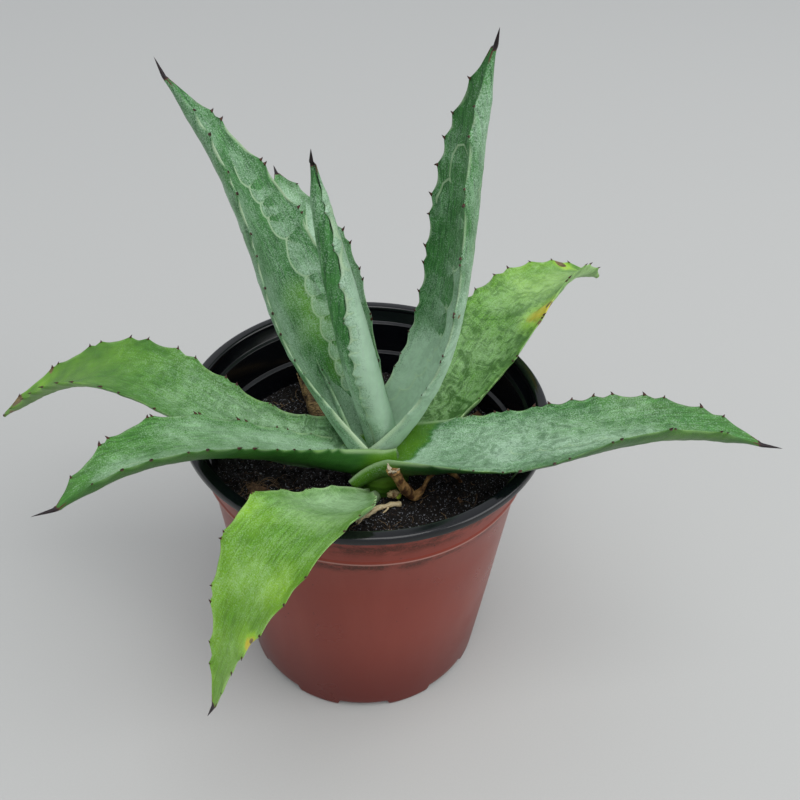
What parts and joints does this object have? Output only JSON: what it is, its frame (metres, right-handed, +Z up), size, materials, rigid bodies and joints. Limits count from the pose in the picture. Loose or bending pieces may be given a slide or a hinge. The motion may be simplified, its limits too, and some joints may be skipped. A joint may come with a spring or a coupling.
{
  "type": "potted agave",
  "caption": "Agave rosette with broad toothed, spine-tipped leaves in a round brown plastic nursery pot filled with peat.",
  "frame": {"origin": "centre of the pot's underside, on the plane it stands on", "axes": "+Z up; -Y towards the side with the drooping front leaf; +X to the right seen from there"},
  "size_m": [0.4413, 0.2934, 0.3866],
  "materials": {
    "pot_plastic": "satin thermoformed plastic, terracotta brown outside and black inside",
    "peat": "loose black-brown peat",
    "stem_flesh": "smooth bloom-free green",
    "bloomed_leaf": "waxy grey-green with a pale bloom",
    "green_leaf": "waxy yellow-green, blotched",
    "root_bark": "rough brown bark",
    "root_flesh": "pale and slightly rough",
    "dry_fibre": "dry split fibres"
  },
  "bodies": {
    "root": {"pot": "pot_plastic", "soil": "peat", "stem": "stem_flesh", "spear_leaf": "bloomed_leaf", "back_leaf": "bloomed_leaf", "tall_left_leaf": "bloomed_leaf", "tall_right_leaf": "bloomed_leaf", "right_leaf": "bloomed_leaf", "front_left_leaf": "green_leaf", "back_right_leaf": "green_leaf", "left_leaf": "green_leaf", "front_leaf": "green_leaf", "stolon": "root_bark", "pale_roots": "root_flesh", "dry_leaf": "dry_fibre"}
  },
  "joints": []
}
